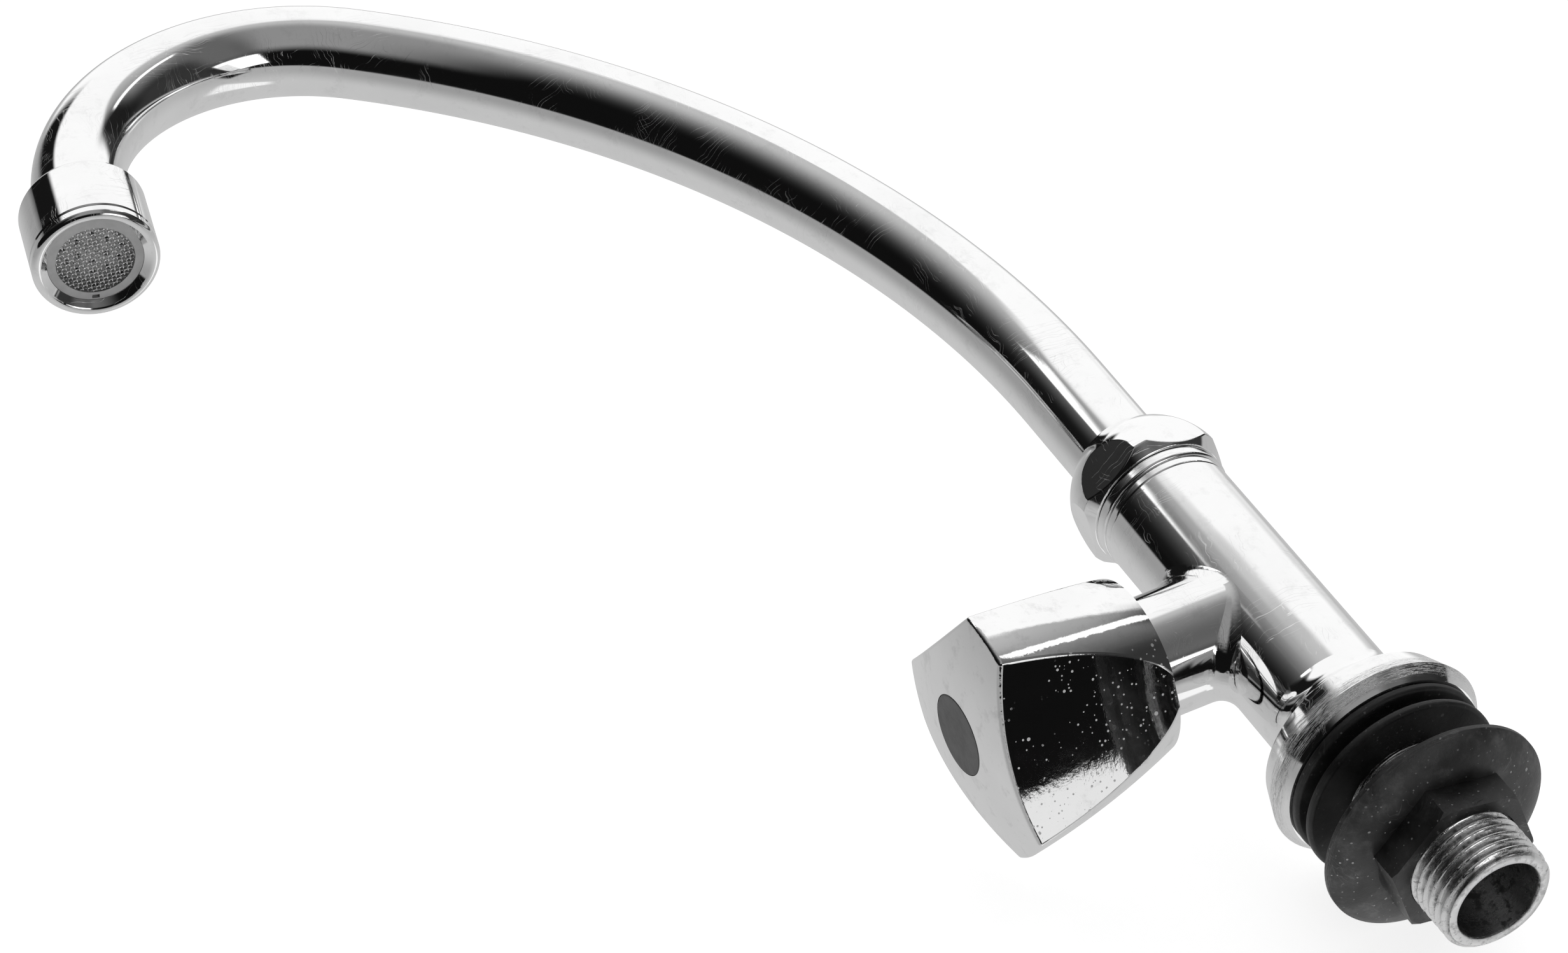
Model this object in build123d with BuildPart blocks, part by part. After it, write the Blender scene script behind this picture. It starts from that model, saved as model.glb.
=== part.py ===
"""Single-hole pillar tap with a swivelling swan-neck spout and a three-sided side handle.

Millimetres. The origin is on the axis of the upright body, in the plane of the deck that
the base gasket rests on. +Z runs up the body, and the handle's axis points along -Y.
"""
import os
from math import cos, degrees, radians, sin, sqrt

from build123d import *

os.makedirs("parts", exist_ok=True)

# ---- driving dimensions -------------------------------------------------------------
RUNNING = 0.05            # radial clearance of a running fit
FACE_GAP = 0.05           # axial clearance between faces that turn on each other

# inlet shank, G 1/2 pipe thread
THREAD_R = 10.48
SHANK_END = -33.5
SHANK_BORE_R = 7.83
SHANK_INNER_R = 7.0
GROOVE_TOP = -23.15       # shallow groove between the nut's rest place and the free end
GROOVE_BOTTOM = -24.15
GROOVE_DEPTH = 0.35
SPIGOT_R = 9.5
SPIGOT_TOP = 15.0

# upright body
BASE_Z = 1.9              # underside of the casting, which is the gasket's thickness
BASE_R = 18.6
LIP_R = 20.3
LIP_Z = 4.6
BODY_R = 12.5
FLARE_TOP = 18.5
BODY_TOP = 72.2
NECK_R = 11.0
NECK_TOP = 83.2
SOCKET_R = 9.0
SOCKET_BOTTOM = 62.0

# gaskets and back nut
GASKET_R = 18.3
GASKET_EDGE = 0.7
LOWER_GASKET_TOP = -2.4
LOWER_GASKET_BOTTOM = -4.2
NUT_TOP = -12.7
NUT_BOTTOM = -23.0
NUT_FLANGE_R = 21.0
NUT_FLATS = 24.8
NUT_TURN = 41.2           # angle of a corner of the back nut about the tap's axis

# side boss and valve
HANDLE_Z = 43.6           # height of the handle's axis
BOSS_R = 11.0
BOSS_END = 27.0
CHAMBER_R = 7.6
HEAD_THREAD_R = 8.33
SEAT_FACE = -0.7          # distance of the seat's lip from the body's axis
SEAT_R = 5.0
VALVE_LIFT = 3.6

# handle
HANDLE_REAR = 24.4
HANDLE_REAR_R = 15.8
HANDLE_EDGE = 55.4        # where the corners end and the domed face begins
HANDLE_CORNER_R = 23.9
HANDLE_BULGE = 0.9        # how far the corners swell outside a straight taper
HANDLE_FACE = 59.3
SIDE_REAR = 15.5          # distance of a side from the axis at the rear
SIDE_FRONT = 15.85        # and at the front
SIDE_HOLLOW_R = 200.0     # radius of the hollow sides
HANDLE_TURN = -6.6        # a corner's angle above the horizontal
HANDLE_BORE_R = 11.5
CAP_R = 7.4
CAP_THICKNESS = 1.8

# spout
SWIVEL = 6.5              # how far the spout stands round from the handle
TUBE_R = 8.75
TUBE_WALL = 1.2
TUBE_START = 86.0
RISER_TOP = 110.5
NECK_BEND_R = 176.7
NECK_BEND = 55.5
CROOK_R = 43.3
CROOK = 112.1
OUTLET_RUN = 17.4

# spout nut and its rings
COLLAR_TOPS = (74.2, 76.5)
SPOUT_NUT_BOTTOM = 76.6
SPOUT_NUT_FLATS = 27.0
SPOUT_NUT_R = 14.9
SPOUT_NUT_CORNER_Z = 78.4
SPOUT_NUT_DOME_R = 15.3
SPOUT_NUT_TURN = 48.0

# aerator
SHELL_R = 12.0
SHELL_LENGTH = 19.0
RIM_R = 10.0
OUTLET_THREAD_R = 10.95

# ---- axes and planes ----------------------------------------------------------------
HEAD = Plane(origin=(0, 0, HANDLE_Z), x_dir=(0, -1, 0), z_dir=(1, 0, 0))
HEAD_AXIS = Axis((0, 0, HANDLE_Z), (0, -1, 0))
SPOUT = Plane(
    origin=(0, 0, 0),
    x_dir=(sin(radians(SWIVEL)), -cos(radians(SWIVEL)), 0),
    z_dir=(-cos(radians(SWIVEL)), -sin(radians(SWIVEL)), 0),
)


def head_plane(distance):
    """Plane across the handle's axis, facing outwards, at a distance from the body's axis."""
    return Plane(origin=(0, -distance, HANDLE_Z), x_dir=(1, 0, 0), z_dir=(0, -1, 0))


def outline(*points):
    """Adds a closed straight-sided outline to the sketch in hand."""
    with BuildLine() as edge:
        Polyline(*points, close=True)
    make_face(edge.edges())


def band(low, high, inner, outer):
    """Adds the half section of a ring, measured along and out from an upright axis."""
    outline((inner, low), (outer, low), (outer, high), (inner, high))


# ---- body ---------------------------------------------------------------------------
FLARE_OUT = 18.0
FLARE_FOOT = 10.5
flare_drop = FLARE_TOP - FLARE_FOOT
flare_step = FLARE_OUT - BODY_R
flare_r = (flare_step**2 + flare_drop**2) / (2 * flare_step)
flare_turn = degrees(2 * sqrt(flare_step / (2 * flare_r)))
SHOULDER_R = 2.4

with BuildPart() as body:
    with BuildSketch(Plane.XZ):
        with BuildLine():
            Line((0, BASE_Z), (BASE_R, BASE_Z))
            bevel = Line((BASE_R, BASE_Z), (LIP_R, LIP_Z))
            flare = JernArc((BODY_R, FLARE_TOP), (0, -1), flare_r, flare_turn)
            shoulder = JernArc(flare @ 1, flare % 1, SHOULDER_R, flare_turn - 90)
            Line(bevel @ 1, shoulder @ 1)
            Polyline(
                (BODY_R, FLARE_TOP),
                (BODY_R, BODY_TOP),
                (NECK_R, BODY_TOP),
                (NECK_R, NECK_TOP),
                (0, NECK_TOP),
                (0, BASE_Z),
            )
        make_face()
    revolve(axis=Axis.Z)
    with BuildSketch(head_plane(0)):
        Circle(BOSS_R)
    extrude(amount=BOSS_END)
    seam = body.edges().filter_by(
        lambda e: e.geom_type not in (GeomType.LINE, GeomType.CIRCLE)
    )
    fillet(seam, radius=4.0)
    fillet(body.edges().filter_by(GeomType.CIRCLE).group_by(Axis.Y)[0], radius=0.8)
    # inlet side: shank socket, lower bore and the passage up the back
    with BuildSketch(Plane.XY.offset(BASE_Z)):
        Circle(SPIGOT_R)
    extrude(amount=SPIGOT_TOP - BASE_Z, mode=Mode.SUBTRACT)
    with BuildSketch(Plane.XY.offset(SPIGOT_TOP)):
        Circle(7.8)
    extrude(amount=32.0 - SPIGOT_TOP, mode=Mode.SUBTRACT)
    with BuildSketch(Plane.XY.offset(28.0)):
        Circle(9.6)
        with Locations((0, 4.5)):
            Rectangle(30, 30, align=(Align.CENTER, Align.MIN), mode=Mode.INTERSECT)
    extrude(amount=22.3, mode=Mode.SUBTRACT)
    # outlet side: valve chamber, the passage up the front and the spout's socket
    with BuildSketch(head_plane(-1.5)):
        Circle(CHAMBER_R)
    extrude(amount=BOSS_END + 1.5, mode=Mode.SUBTRACT)
    with BuildSketch(head_plane(14.0)):
        Circle(HEAD_THREAD_R)
    extrude(amount=BOSS_END - 14.0, mode=Mode.SUBTRACT)
    with BuildSketch(head_plane(-4.6)):
        Circle(SEAT_R)
    extrude(amount=3.2, mode=Mode.SUBTRACT)
    with BuildSketch(Plane.XY.offset(HANDLE_Z)):
        Circle(8.5)
        with Locations((0, 1.5)):
            Rectangle(30, 30, align=(Align.CENTER, Align.MAX), mode=Mode.INTERSECT)
    extrude(amount=12.4, mode=Mode.SUBTRACT)
    with BuildSketch(Plane.XY.offset(54.3)):
        Circle(8.0)
    extrude(amount=SOCKET_BOTTOM - 54.3, mode=Mode.SUBTRACT)
    with BuildSketch(Plane.XY.offset(SOCKET_BOTTOM)):
        Circle(SOCKET_R)
    extrude(amount=NECK_TOP - SOCKET_BOTTOM, mode=Mode.SUBTRACT)
    # raised lip of the valve seat
    with BuildSketch(head_plane(-1.5)):
        Circle(6.2)
        Circle(SEAT_R, mode=Mode.SUBTRACT)
    extrude(amount=1.5 + SEAT_FACE)

body.part.label = "body"
export_step(body.part, "parts/body.step")

# ---- inlet shank --------------------------------------------------------------------
with BuildPart() as inlet_shank:
    with BuildSketch(Plane.XZ):
        outline(
            (SHANK_BORE_R, SHANK_END),
            (THREAD_R - 0.9, SHANK_END),
            (THREAD_R, SHANK_END + 0.9),
            (THREAD_R, GROOVE_BOTTOM),
            (THREAD_R - GROOVE_DEPTH, GROOVE_BOTTOM),
            (THREAD_R - GROOVE_DEPTH, GROOVE_TOP),
            (THREAD_R, GROOVE_TOP),
            (THREAD_R, BASE_Z),
            (SPIGOT_R, BASE_Z),
            (SPIGOT_R, SPIGOT_TOP),
            (SHANK_INNER_R, SPIGOT_TOP),
            (SHANK_INNER_R, -13.0),
            (SHANK_BORE_R, -14.0),
        )
    revolve(axis=Axis.Z)

inlet_shank.part.label = "inlet_shank"
export_step(inlet_shank.part, "parts/inlet_shank.step")

# ---- gaskets ------------------------------------------------------------------------
with BuildPart() as base_gasket:
    with BuildSketch(Plane.XY):
        Circle(GASKET_R)
        Circle(THREAD_R + RUNNING, mode=Mode.SUBTRACT)
    extrude(amount=BASE_Z)
    outer_edges = base_gasket.edges().filter_by(GeomType.CIRCLE).group_by(SortBy.RADIUS)[-1]
    fillet(outer_edges, radius=GASKET_EDGE)

base_gasket.part.label = "base_gasket"
export_step(base_gasket.part, "parts/base_gasket.step")

with BuildPart() as lower_gasket:
    with BuildSketch(Plane.XY.offset(LOWER_GASKET_BOTTOM)):
        Circle(GASKET_R)
        Circle(THREAD_R + RUNNING, mode=Mode.SUBTRACT)
    extrude(amount=LOWER_GASKET_TOP - LOWER_GASKET_BOTTOM)
    outer_edges = lower_gasket.edges().filter_by(GeomType.CIRCLE).group_by(SortBy.RADIUS)[-1]
    fillet(outer_edges, radius=GASKET_EDGE)

lower_gasket.part.label = "lower_gasket"
export_step(lower_gasket.part, "parts/lower_gasket.step")

# ---- back nut: a dished flange with a hexagon under it ---------------------------------
HEX_TOP = NUT_BOTTOM + 6.2
nut_corner_r = NUT_FLATS / sqrt(3)

with BuildPart() as back_nut:
    with BuildSketch(Plane.XZ):
        with BuildLine():
            rim = Polyline(
                (nut_corner_r - 1.2, HEX_TOP - 0.4),
                (THREAD_R + RUNNING, HEX_TOP - 0.4),
                (THREAD_R + RUNNING, NUT_TOP - 1.9),
                (NUT_FLANGE_R - 3.0, NUT_TOP - 1.3),
                (NUT_FLANGE_R - 1.5, NUT_TOP),
                (NUT_FLANGE_R - 0.4, NUT_TOP),
                (NUT_FLANGE_R, NUT_TOP - 0.4),
                (NUT_FLANGE_R, NUT_TOP - 1.2),
            )
            ThreePointArc(rim @ 1, (18.3, NUT_TOP - 3.0), rim @ 0)
        make_face()
    revolve(axis=Axis.Z)
    with BuildSketch(Plane.XY.offset(NUT_BOTTOM)):
        RegularPolygon(nut_corner_r, 6, rotation=NUT_TURN)
        Circle(THREAD_R + RUNNING, mode=Mode.SUBTRACT)
    extrude(amount=HEX_TOP - NUT_BOTTOM)
    # turned chamfer round the hexagon's lower end
    with BuildSketch(Plane.XZ):
        outline(
            (nut_corner_r - 0.7, NUT_BOTTOM),
            (nut_corner_r + 2.0, NUT_BOTTOM),
            (nut_corner_r + 2.0, NUT_BOTTOM + 1.5),
        )
    revolve(axis=Axis.Z, mode=Mode.SUBTRACT)

back_nut.part.label = "back_nut"
export_step(back_nut.part, "parts/back_nut.step")

# ---- headwork: the brass valve body screwed into the boss --------------------------------
WASHER_END = BOSS_END + 1.2
HEX_END = 32.5
BONNET_END = 41.0
STEM_R = 4.5
THRUST_R = 5.4
THRUST_START = 22.2
THRUST_END = 24.8
PISTON_FLATS = 10.8
GUIDE_FLATS = PISTON_FLATS + 2 * RUNNING

with BuildPart() as headwork_washer:
    with BuildSketch(head_plane(BOSS_END)):
        Circle(10.6)
        Circle(HEAD_THREAD_R, mode=Mode.SUBTRACT)
    extrude(amount=WASHER_END - BOSS_END)

headwork_washer.part.label = "headwork_washer"
export_step(headwork_washer.part, "parts/headwork_washer.step")

with BuildPart() as headwork_body:
    with BuildSketch(HEAD):
        outline(
            (8.4, 0),
            (8.4, 7.2),
            (14.2, 7.2),
            (14.2, HEAD_THREAD_R),
            (WASHER_END, HEAD_THREAD_R),
            (WASHER_END, 6.5),
            (BONNET_END, 6.5),
            (BONNET_END, 0),
        )
    revolve(axis=HEAD_AXIS)
    with BuildSketch(head_plane(WASHER_END)):
        RegularPolygon(10.9, 6)
    extrude(amount=HEX_END - WASHER_END)
    with BuildSketch(head_plane(8.4)):
        RegularPolygon(GUIDE_FLATS / sqrt(3), 6)
    extrude(amount=THRUST_START - FACE_GAP - 8.4, mode=Mode.SUBTRACT)
    with BuildSketch(head_plane(THRUST_START - FACE_GAP)):
        Circle(GUIDE_FLATS / sqrt(3))
    extrude(amount=THRUST_END - THRUST_START + 2 * FACE_GAP, mode=Mode.SUBTRACT)
    with BuildSketch(head_plane(THRUST_END)):
        Circle(STEM_R + RUNNING)
    extrude(amount=BONNET_END - THRUST_END, mode=Mode.SUBTRACT)

headwork_body.part.label = "headwork_body"
export_step(headwork_body.part, "parts/headwork_body.step")

# ---- spindle with its seals and circlip ----------------------------------------------------
SPINDLE_THREAD_R = 3.0
SPINDLE_TIP = 12.9
SPLINE_R = 4.0
SPLINE_END = 50.5
SEAL_SECTION_R = 0.8
SEAL_STATIONS = (29.0, 34.0)
SEAL_GROOVE_R = STEM_R - 2 * SEAL_SECTION_R
CIRCLIP_START = BONNET_END + 0.1
CIRCLIP_END = CIRCLIP_START + 0.8

with BuildPart() as spindle:
    with BuildSketch(HEAD):
        outline(
            (SPINDLE_TIP, 0),
            (SPINDLE_TIP, SPINDLE_THREAD_R - 0.5),
            (SPINDLE_TIP + 0.5, SPINDLE_THREAD_R),
            (THRUST_START, SPINDLE_THREAD_R),
            (THRUST_START, THRUST_R),
            (THRUST_END, THRUST_R),
            (THRUST_END, STEM_R),
            (BONNET_END, STEM_R),
            (CIRCLIP_END, STEM_R),
            (CIRCLIP_END, SPLINE_R),
            (SPLINE_END, SPLINE_R),
            (SPLINE_END, 0),
        )
    revolve(axis=HEAD_AXIS)
    with BuildSketch(HEAD):
        for station in SEAL_STATIONS:
            outline(
                (station - 1.0, SEAL_GROOVE_R),
                (station + 1.0, SEAL_GROOVE_R),
                (station + 1.0, STEM_R + 1),
                (station - 1.0, STEM_R + 1),
            )
        outline(
            (CIRCLIP_START, 3.6),
            (CIRCLIP_END, 3.6),
            (CIRCLIP_END, STEM_R + 1),
            (CIRCLIP_START, STEM_R + 1),
        )
    revolve(axis=HEAD_AXIS, mode=Mode.SUBTRACT)
    with BuildSketch(head_plane(CIRCLIP_END + 1.0)):
        with PolarLocations(SPLINE_R + 0.15, 20):
            Circle(0.35)
    extrude(amount=SPLINE_END - CIRCLIP_END, mode=Mode.SUBTRACT)
    with BuildSketch(head_plane(SPLINE_END)):
        Circle(1.7)
    extrude(amount=-8.5, mode=Mode.SUBTRACT)

spindle.part.label = "spindle"
export_step(spindle.part, "parts/spindle.step")

for name, station in zip(("spindle_seal_inner", "spindle_seal_outer"), SEAL_STATIONS):
    with BuildPart() as spindle_seal:
        with BuildSketch(HEAD):
            with Locations((station, STEM_R - SEAL_SECTION_R)):
                Circle(SEAL_SECTION_R)
        revolve(axis=HEAD_AXIS)
    spindle_seal.part.label = name
    export_step(spindle_seal.part, f"parts/{name}.step")

with BuildPart() as spindle_circlip:
    with BuildSketch(head_plane(CIRCLIP_START)):
        Circle(6.2)
        Circle(3.6, mode=Mode.SUBTRACT)
        with Locations((0, 5.0)):
            Rectangle(2.4, 5.0, mode=Mode.SUBTRACT)
    extrude(amount=CIRCLIP_END - CIRCLIP_START)

spindle_circlip.part.label = "spindle_circlip"
export_step(spindle_circlip.part, "parts/spindle_circlip.step")

# ---- valve piston with its washer and screw --------------------------------------------------
WASHER_START = SEAT_FACE + FACE_GAP
WASHER_BACK = WASHER_START + 3.0
PISTON_TOP = 18.2

with BuildPart() as valve_piston:
    with BuildSketch(HEAD):
        outline(
            (WASHER_BACK, 0),
            (WASHER_BACK, 6.9),
            (WASHER_BACK + 1.6, 6.9),
            (WASHER_BACK + 2.4, 4.2),
            (9.6, 4.2),
            (9.6, 0),
        )
    revolve(axis=HEAD_AXIS)
    with BuildSketch(head_plane(9.0)):
        RegularPolygon(PISTON_FLATS / sqrt(3), 6)
    extrude(amount=PISTON_TOP - 9.0)
    with BuildSketch(head_plane(PISTON_TOP)):
        Circle(SPINDLE_THREAD_R + RUNNING)
    extrude(amount=-9.5, mode=Mode.SUBTRACT)
    with BuildSketch(head_plane(WASHER_BACK)):
        Circle(1.5)
    extrude(amount=5.0, mode=Mode.SUBTRACT)

valve_piston.part.label = "valve_piston"
export_step(valve_piston.part, "parts/valve_piston.step")

with BuildPart() as valve_washer:
    with BuildSketch(head_plane(WASHER_START)):
        Circle(6.4)
        Circle(1.5, mode=Mode.SUBTRACT)
    extrude(amount=WASHER_BACK - WASHER_START)

valve_washer.part.label = "valve_washer"
export_step(valve_washer.part, "parts/valve_washer.step")

with BuildPart() as washer_screw:
    with BuildSketch(head_plane(WASHER_START)):
        Circle(1.5)
    extrude(amount=7.4)
    with BuildSketch(head_plane(WASHER_START)):
        Circle(2.8)
    extrude(amount=-1.6)
    with BuildSketch(head_plane(WASHER_START - 1.6)):
        Rectangle(6.0, 0.7)
    extrude(amount=0.8, mode=Mode.SUBTRACT)

washer_screw.part.label = "washer_screw"
export_step(washer_screw.part, "parts/washer_screw.step")

# ---- handle -------------------------------------------------------------------------------------
dome_rise = HANDLE_FACE - HANDLE_EDGE
dome_r = (HANDLE_CORNER_R**2 + dome_rise**2) / (2 * dome_rise)
dome_middle = HANDLE_FACE - dome_r + sqrt(dome_r**2 - (HANDLE_CORNER_R / 2) ** 2)
side_lean = (SIDE_FRONT - SIDE_REAR) / (HANDLE_EDGE - HANDLE_REAR)
swell = (
    (HANDLE_REAR + HANDLE_EDGE) / 2,
    (HANDLE_REAR_R + HANDLE_CORNER_R) / 2 + HANDLE_BULGE,
)
HUB_START = 42.6
SCREW_SEAT = SPLINE_END + 2.0
CAP_SEAT = 57.2

SECTION_TURN = radians(HANDLE_TURN - 30)      # draws the half section through a corner

with BuildPart() as handle:
    section = Plane(
        origin=(0, 0, HANDLE_Z),
        x_dir=(0, -1, 0),
        z_dir=(cos(SECTION_TURN), 0, sin(SECTION_TURN)),
    )
    with BuildSketch(section):
        with BuildLine():
            rear = Polyline((HANDLE_FACE, 0), (HANDLE_REAR, 0), (HANDLE_REAR, HANDLE_REAR_R))
            corner = ThreePointArc(rear @ 1, swell, (HANDLE_EDGE, HANDLE_CORNER_R))
            ThreePointArc(corner @ 1, (dome_middle, HANDLE_CORNER_R / 2), rear @ 0)
        make_face()
    revolve(axis=HEAD_AXIS)
    for side in range(3):
        angle = radians(HANDLE_TURN + 60 + 120 * side)
        out = Vector(cos(angle), 0, sin(angle))
        foot = Vector(0, -HANDLE_REAR, HANDLE_Z) + out * (SIDE_REAR + SIDE_HOLLOW_R)
        run = Vector(0, -1, 0) + out * side_lean
        with BuildSketch(Plane(origin=foot - run * 5, z_dir=run)):
            Circle(SIDE_HOLLOW_R)
        extrude(amount=50, mode=Mode.SUBTRACT)
    ridges = handle.edges().filter_by(
        lambda e: e.geom_type != GeomType.LINE and abs((e @ 0).Y - (e @ 1).Y) > 20
    )
    fillet(ridges, radius=0.8)
    face_rim = handle.edges().filter_by(
        lambda e: max((e @ 0).Y, (e @ 1).Y) < -50 and abs((e @ 0).Y - (e @ 1).Y) < 3
    )
    fillet(face_rim, radius=0.8)
    with BuildSketch(head_plane(HANDLE_REAR)):
        Circle(HANDLE_BORE_R)
    extrude(amount=HUB_START - HANDLE_REAR, mode=Mode.SUBTRACT)
    with BuildSketch(head_plane(HUB_START)):
        Circle(SPLINE_R + 0.02)
    extrude(amount=SPLINE_END - HUB_START + 0.2, mode=Mode.SUBTRACT)
    with BuildSketch(head_plane(SPLINE_END)):
        Circle(2.1)
    extrude(amount=SCREW_SEAT - SPLINE_END, mode=Mode.SUBTRACT)
    with BuildSketch(head_plane(SCREW_SEAT)):
        Circle(4.4)
    extrude(amount=HANDLE_FACE - SCREW_SEAT, mode=Mode.SUBTRACT)
    with BuildSketch(head_plane(CAP_SEAT)):
        Circle(CAP_R + 0.05)
    extrude(amount=HANDLE_FACE - CAP_SEAT, mode=Mode.SUBTRACT)

handle.part.label = "handle"
export_step(handle.part, "parts/handle.step")

with BuildPart() as handle_screw:
    with BuildSketch(HEAD):
        outline(
            (SPLINE_END - 7.5, 0),
            (SPLINE_END - 7.5, 1.2),
            (SPLINE_END - 7.0, 1.65),
            (SCREW_SEAT, 1.65),
            (SCREW_SEAT, 3.6),
            (SCREW_SEAT + 1.6, 3.6),
            (SCREW_SEAT + 2.6, 2.4),
            (SCREW_SEAT + 2.6, 0),
        )
    revolve(axis=HEAD_AXIS)
    with BuildSketch(head_plane(SCREW_SEAT + 2.6)):
        Rectangle(3.4, 0.8)
        Rectangle(0.8, 3.4)
    extrude(amount=-1.3, mode=Mode.SUBTRACT)

handle_screw.part.label = "handle_screw"
export_step(handle_screw.part, "parts/handle_screw.step")

with BuildPart() as index_cap:
    with BuildSketch(head_plane(CAP_SEAT)):
        Circle(CAP_R)
    extrude(amount=CAP_THICKNESS)
    fillet(index_cap.edges().group_by(Axis.Y)[0], radius=0.3)
    with BuildSketch(head_plane(CAP_SEAT)):
        Circle(4.3)
        Circle(3.7, mode=Mode.SUBTRACT)
    extrude(amount=-1.8)

index_cap.part.label = "index_cap"
export_step(index_cap.part, "parts/index_cap.step")

# ---- spout fixing: collars, ferrule, seals, washers and the domed hexagon nut ----------------------
FLANGE_BOTTOM = NECK_TOP + 0.85
FERRULE_R = SOCKET_R - 0.07
FERRULE_BORE_R = 6.3
FLANGE_R = 10.0
O_RING_R = 0.8
O_RING_STATIONS = (69.0, 76.0)
NUT_CEILING = TUBE_START + 1.3

collar_floors = (BODY_TOP, COLLAR_TOPS[0])
collar_radii = (BODY_R, BODY_R + 0.4)
for name, floor, top, radius in zip(
    ("lower_collar", "upper_collar"), collar_floors, COLLAR_TOPS, collar_radii
):
    with BuildPart() as collar:
        with BuildSketch(Plane.XY.offset(floor)):
            Circle(radius)
            Circle(NECK_R, mode=Mode.SUBTRACT)
        extrude(amount=top - floor)
        rims = collar.edges().filter_by(GeomType.CIRCLE).group_by(SortBy.RADIUS)[-1]
        fillet(rims, radius=0.5)
    collar.part.label = name
    export_step(collar.part, f"parts/{name}.step")

with BuildPart() as spout_ferrule:
    with BuildSketch(Plane.XZ):
        outline(
            (FERRULE_BORE_R, SOCKET_BOTTOM + 1.5),
            (FERRULE_R - 0.6, SOCKET_BOTTOM + 1.5),
            (FERRULE_R, SOCKET_BOTTOM + 2.5),
            (FERRULE_R, FLANGE_BOTTOM),
            (FLANGE_R, FLANGE_BOTTOM),
            (FLANGE_R, TUBE_START),
            (TUBE_R - TUBE_WALL, TUBE_START),
            (TUBE_R - TUBE_WALL, TUBE_START + 8.0),
            (FERRULE_BORE_R, TUBE_START + 8.0),
        )
    revolve(axis=Axis.Z)
    with BuildSketch(Plane.XZ):
        for station in O_RING_STATIONS:
            band(station - 1.0, station + 1.0, FERRULE_R - 2 * O_RING_R, FERRULE_R + 1)
    revolve(axis=Axis.Z, mode=Mode.SUBTRACT)

spout_ferrule.part.label = "spout_ferrule"
export_step(spout_ferrule.part, "parts/spout_ferrule.step")

for name, station in zip(("spout_seal_lower", "spout_seal_upper"), O_RING_STATIONS):
    with BuildPart() as spout_seal:
        with BuildSketch(Plane.XZ):
            with Locations((FERRULE_R - O_RING_R, station)):
                Circle(O_RING_R)
        revolve(axis=Axis.Z)
    spout_seal.part.label = name
    export_step(spout_seal.part, f"parts/{name}.step")

with BuildPart() as slide_washer:
    with BuildSketch(Plane.XZ):
        band(NECK_TOP, FLANGE_BOTTOM - FACE_GAP, SOCKET_R, FLANGE_R + 0.1)
    revolve(axis=Axis.Z)

slide_washer.part.label = "slide_washer"
export_step(slide_washer.part, "parts/slide_washer.step")

with BuildPart() as spout_retaining_ring:
    with BuildSketch(Plane.XY.offset(TUBE_START + FACE_GAP)):
        Circle(FLANGE_R + 0.1)
        Circle(TUBE_R + RUNNING, mode=Mode.SUBTRACT)
        with Locations((0, 9.7)):
            Rectangle(2.0, 3.0, mode=Mode.SUBTRACT)
    extrude(amount=NUT_CEILING - TUBE_START - FACE_GAP)

spout_retaining_ring.part.label = "spout_retaining_ring"
export_step(spout_retaining_ring.part, "parts/spout_retaining_ring.step")

dome_foot = SPOUT_NUT_R - SPOUT_NUT_DOME_R
mouth_r = TUBE_R + 0.25
dome_top_r = mouth_r + 0.5
dome_top = SPOUT_NUT_CORNER_Z + sqrt(SPOUT_NUT_DOME_R**2 - (dome_top_r - dome_foot) ** 2)
dome_mid_r = 13.0
dome_mid = SPOUT_NUT_CORNER_Z + sqrt(SPOUT_NUT_DOME_R**2 - (dome_mid_r - dome_foot) ** 2)

with BuildPart() as spout_nut:
    with BuildSketch(Plane.XZ):
        with BuildLine():
            wall = Polyline(
                (dome_top_r, dome_top),
                (mouth_r, dome_top),
                (mouth_r, NUT_CEILING),
                (NECK_R, NUT_CEILING),
                (NECK_R, SPOUT_NUT_BOTTOM),
                (SPOUT_NUT_R - 1.8, SPOUT_NUT_BOTTOM),
                (SPOUT_NUT_R, SPOUT_NUT_CORNER_Z),
            )
            ThreePointArc(wall @ 1, (dome_mid_r, dome_mid), wall @ 0)
        make_face()
    revolve(axis=Axis.Z)
    with BuildSketch(Plane.XY.offset(SPOUT_NUT_BOTTOM)):
        RegularPolygon(SPOUT_NUT_FLATS / sqrt(3), 6, rotation=SPOUT_NUT_TURN)
    extrude(amount=20, mode=Mode.INTERSECT)
    fillet(spout_nut.edges().filter_by(lambda e: (e @ 0.5).Z < dome_top - 1), radius=0.35)

spout_nut.part.label = "spout_nut"
export_step(spout_nut.part, "parts/spout_nut.step")

# ---- spout tube ---------------------------------------------------------------------------------
with BuildPart() as spout_tube:
    with BuildLine(SPOUT) as spout_path:
        riser = Line((0, TUBE_START), (0, RISER_TOP))
        neck_bend = JernArc(riser @ 1, riser % 1, NECK_BEND_R, -NECK_BEND)
        crook = JernArc(neck_bend @ 1, neck_bend % 1, CROOK_R, -CROOK)
        outlet_run = Line(crook @ 1, (crook @ 1) + (crook % 1) * (OUTLET_RUN - 9.0))
    with BuildSketch(Plane.XY.offset(TUBE_START)):
        Circle(TUBE_R)
        Circle(TUBE_R - TUBE_WALL, mode=Mode.SUBTRACT)
    sweep(path=spout_path.wires()[0])

spout_tube.part.label = "spout_tube"
export_step(spout_tube.part, "parts/spout_tube.step")

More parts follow.
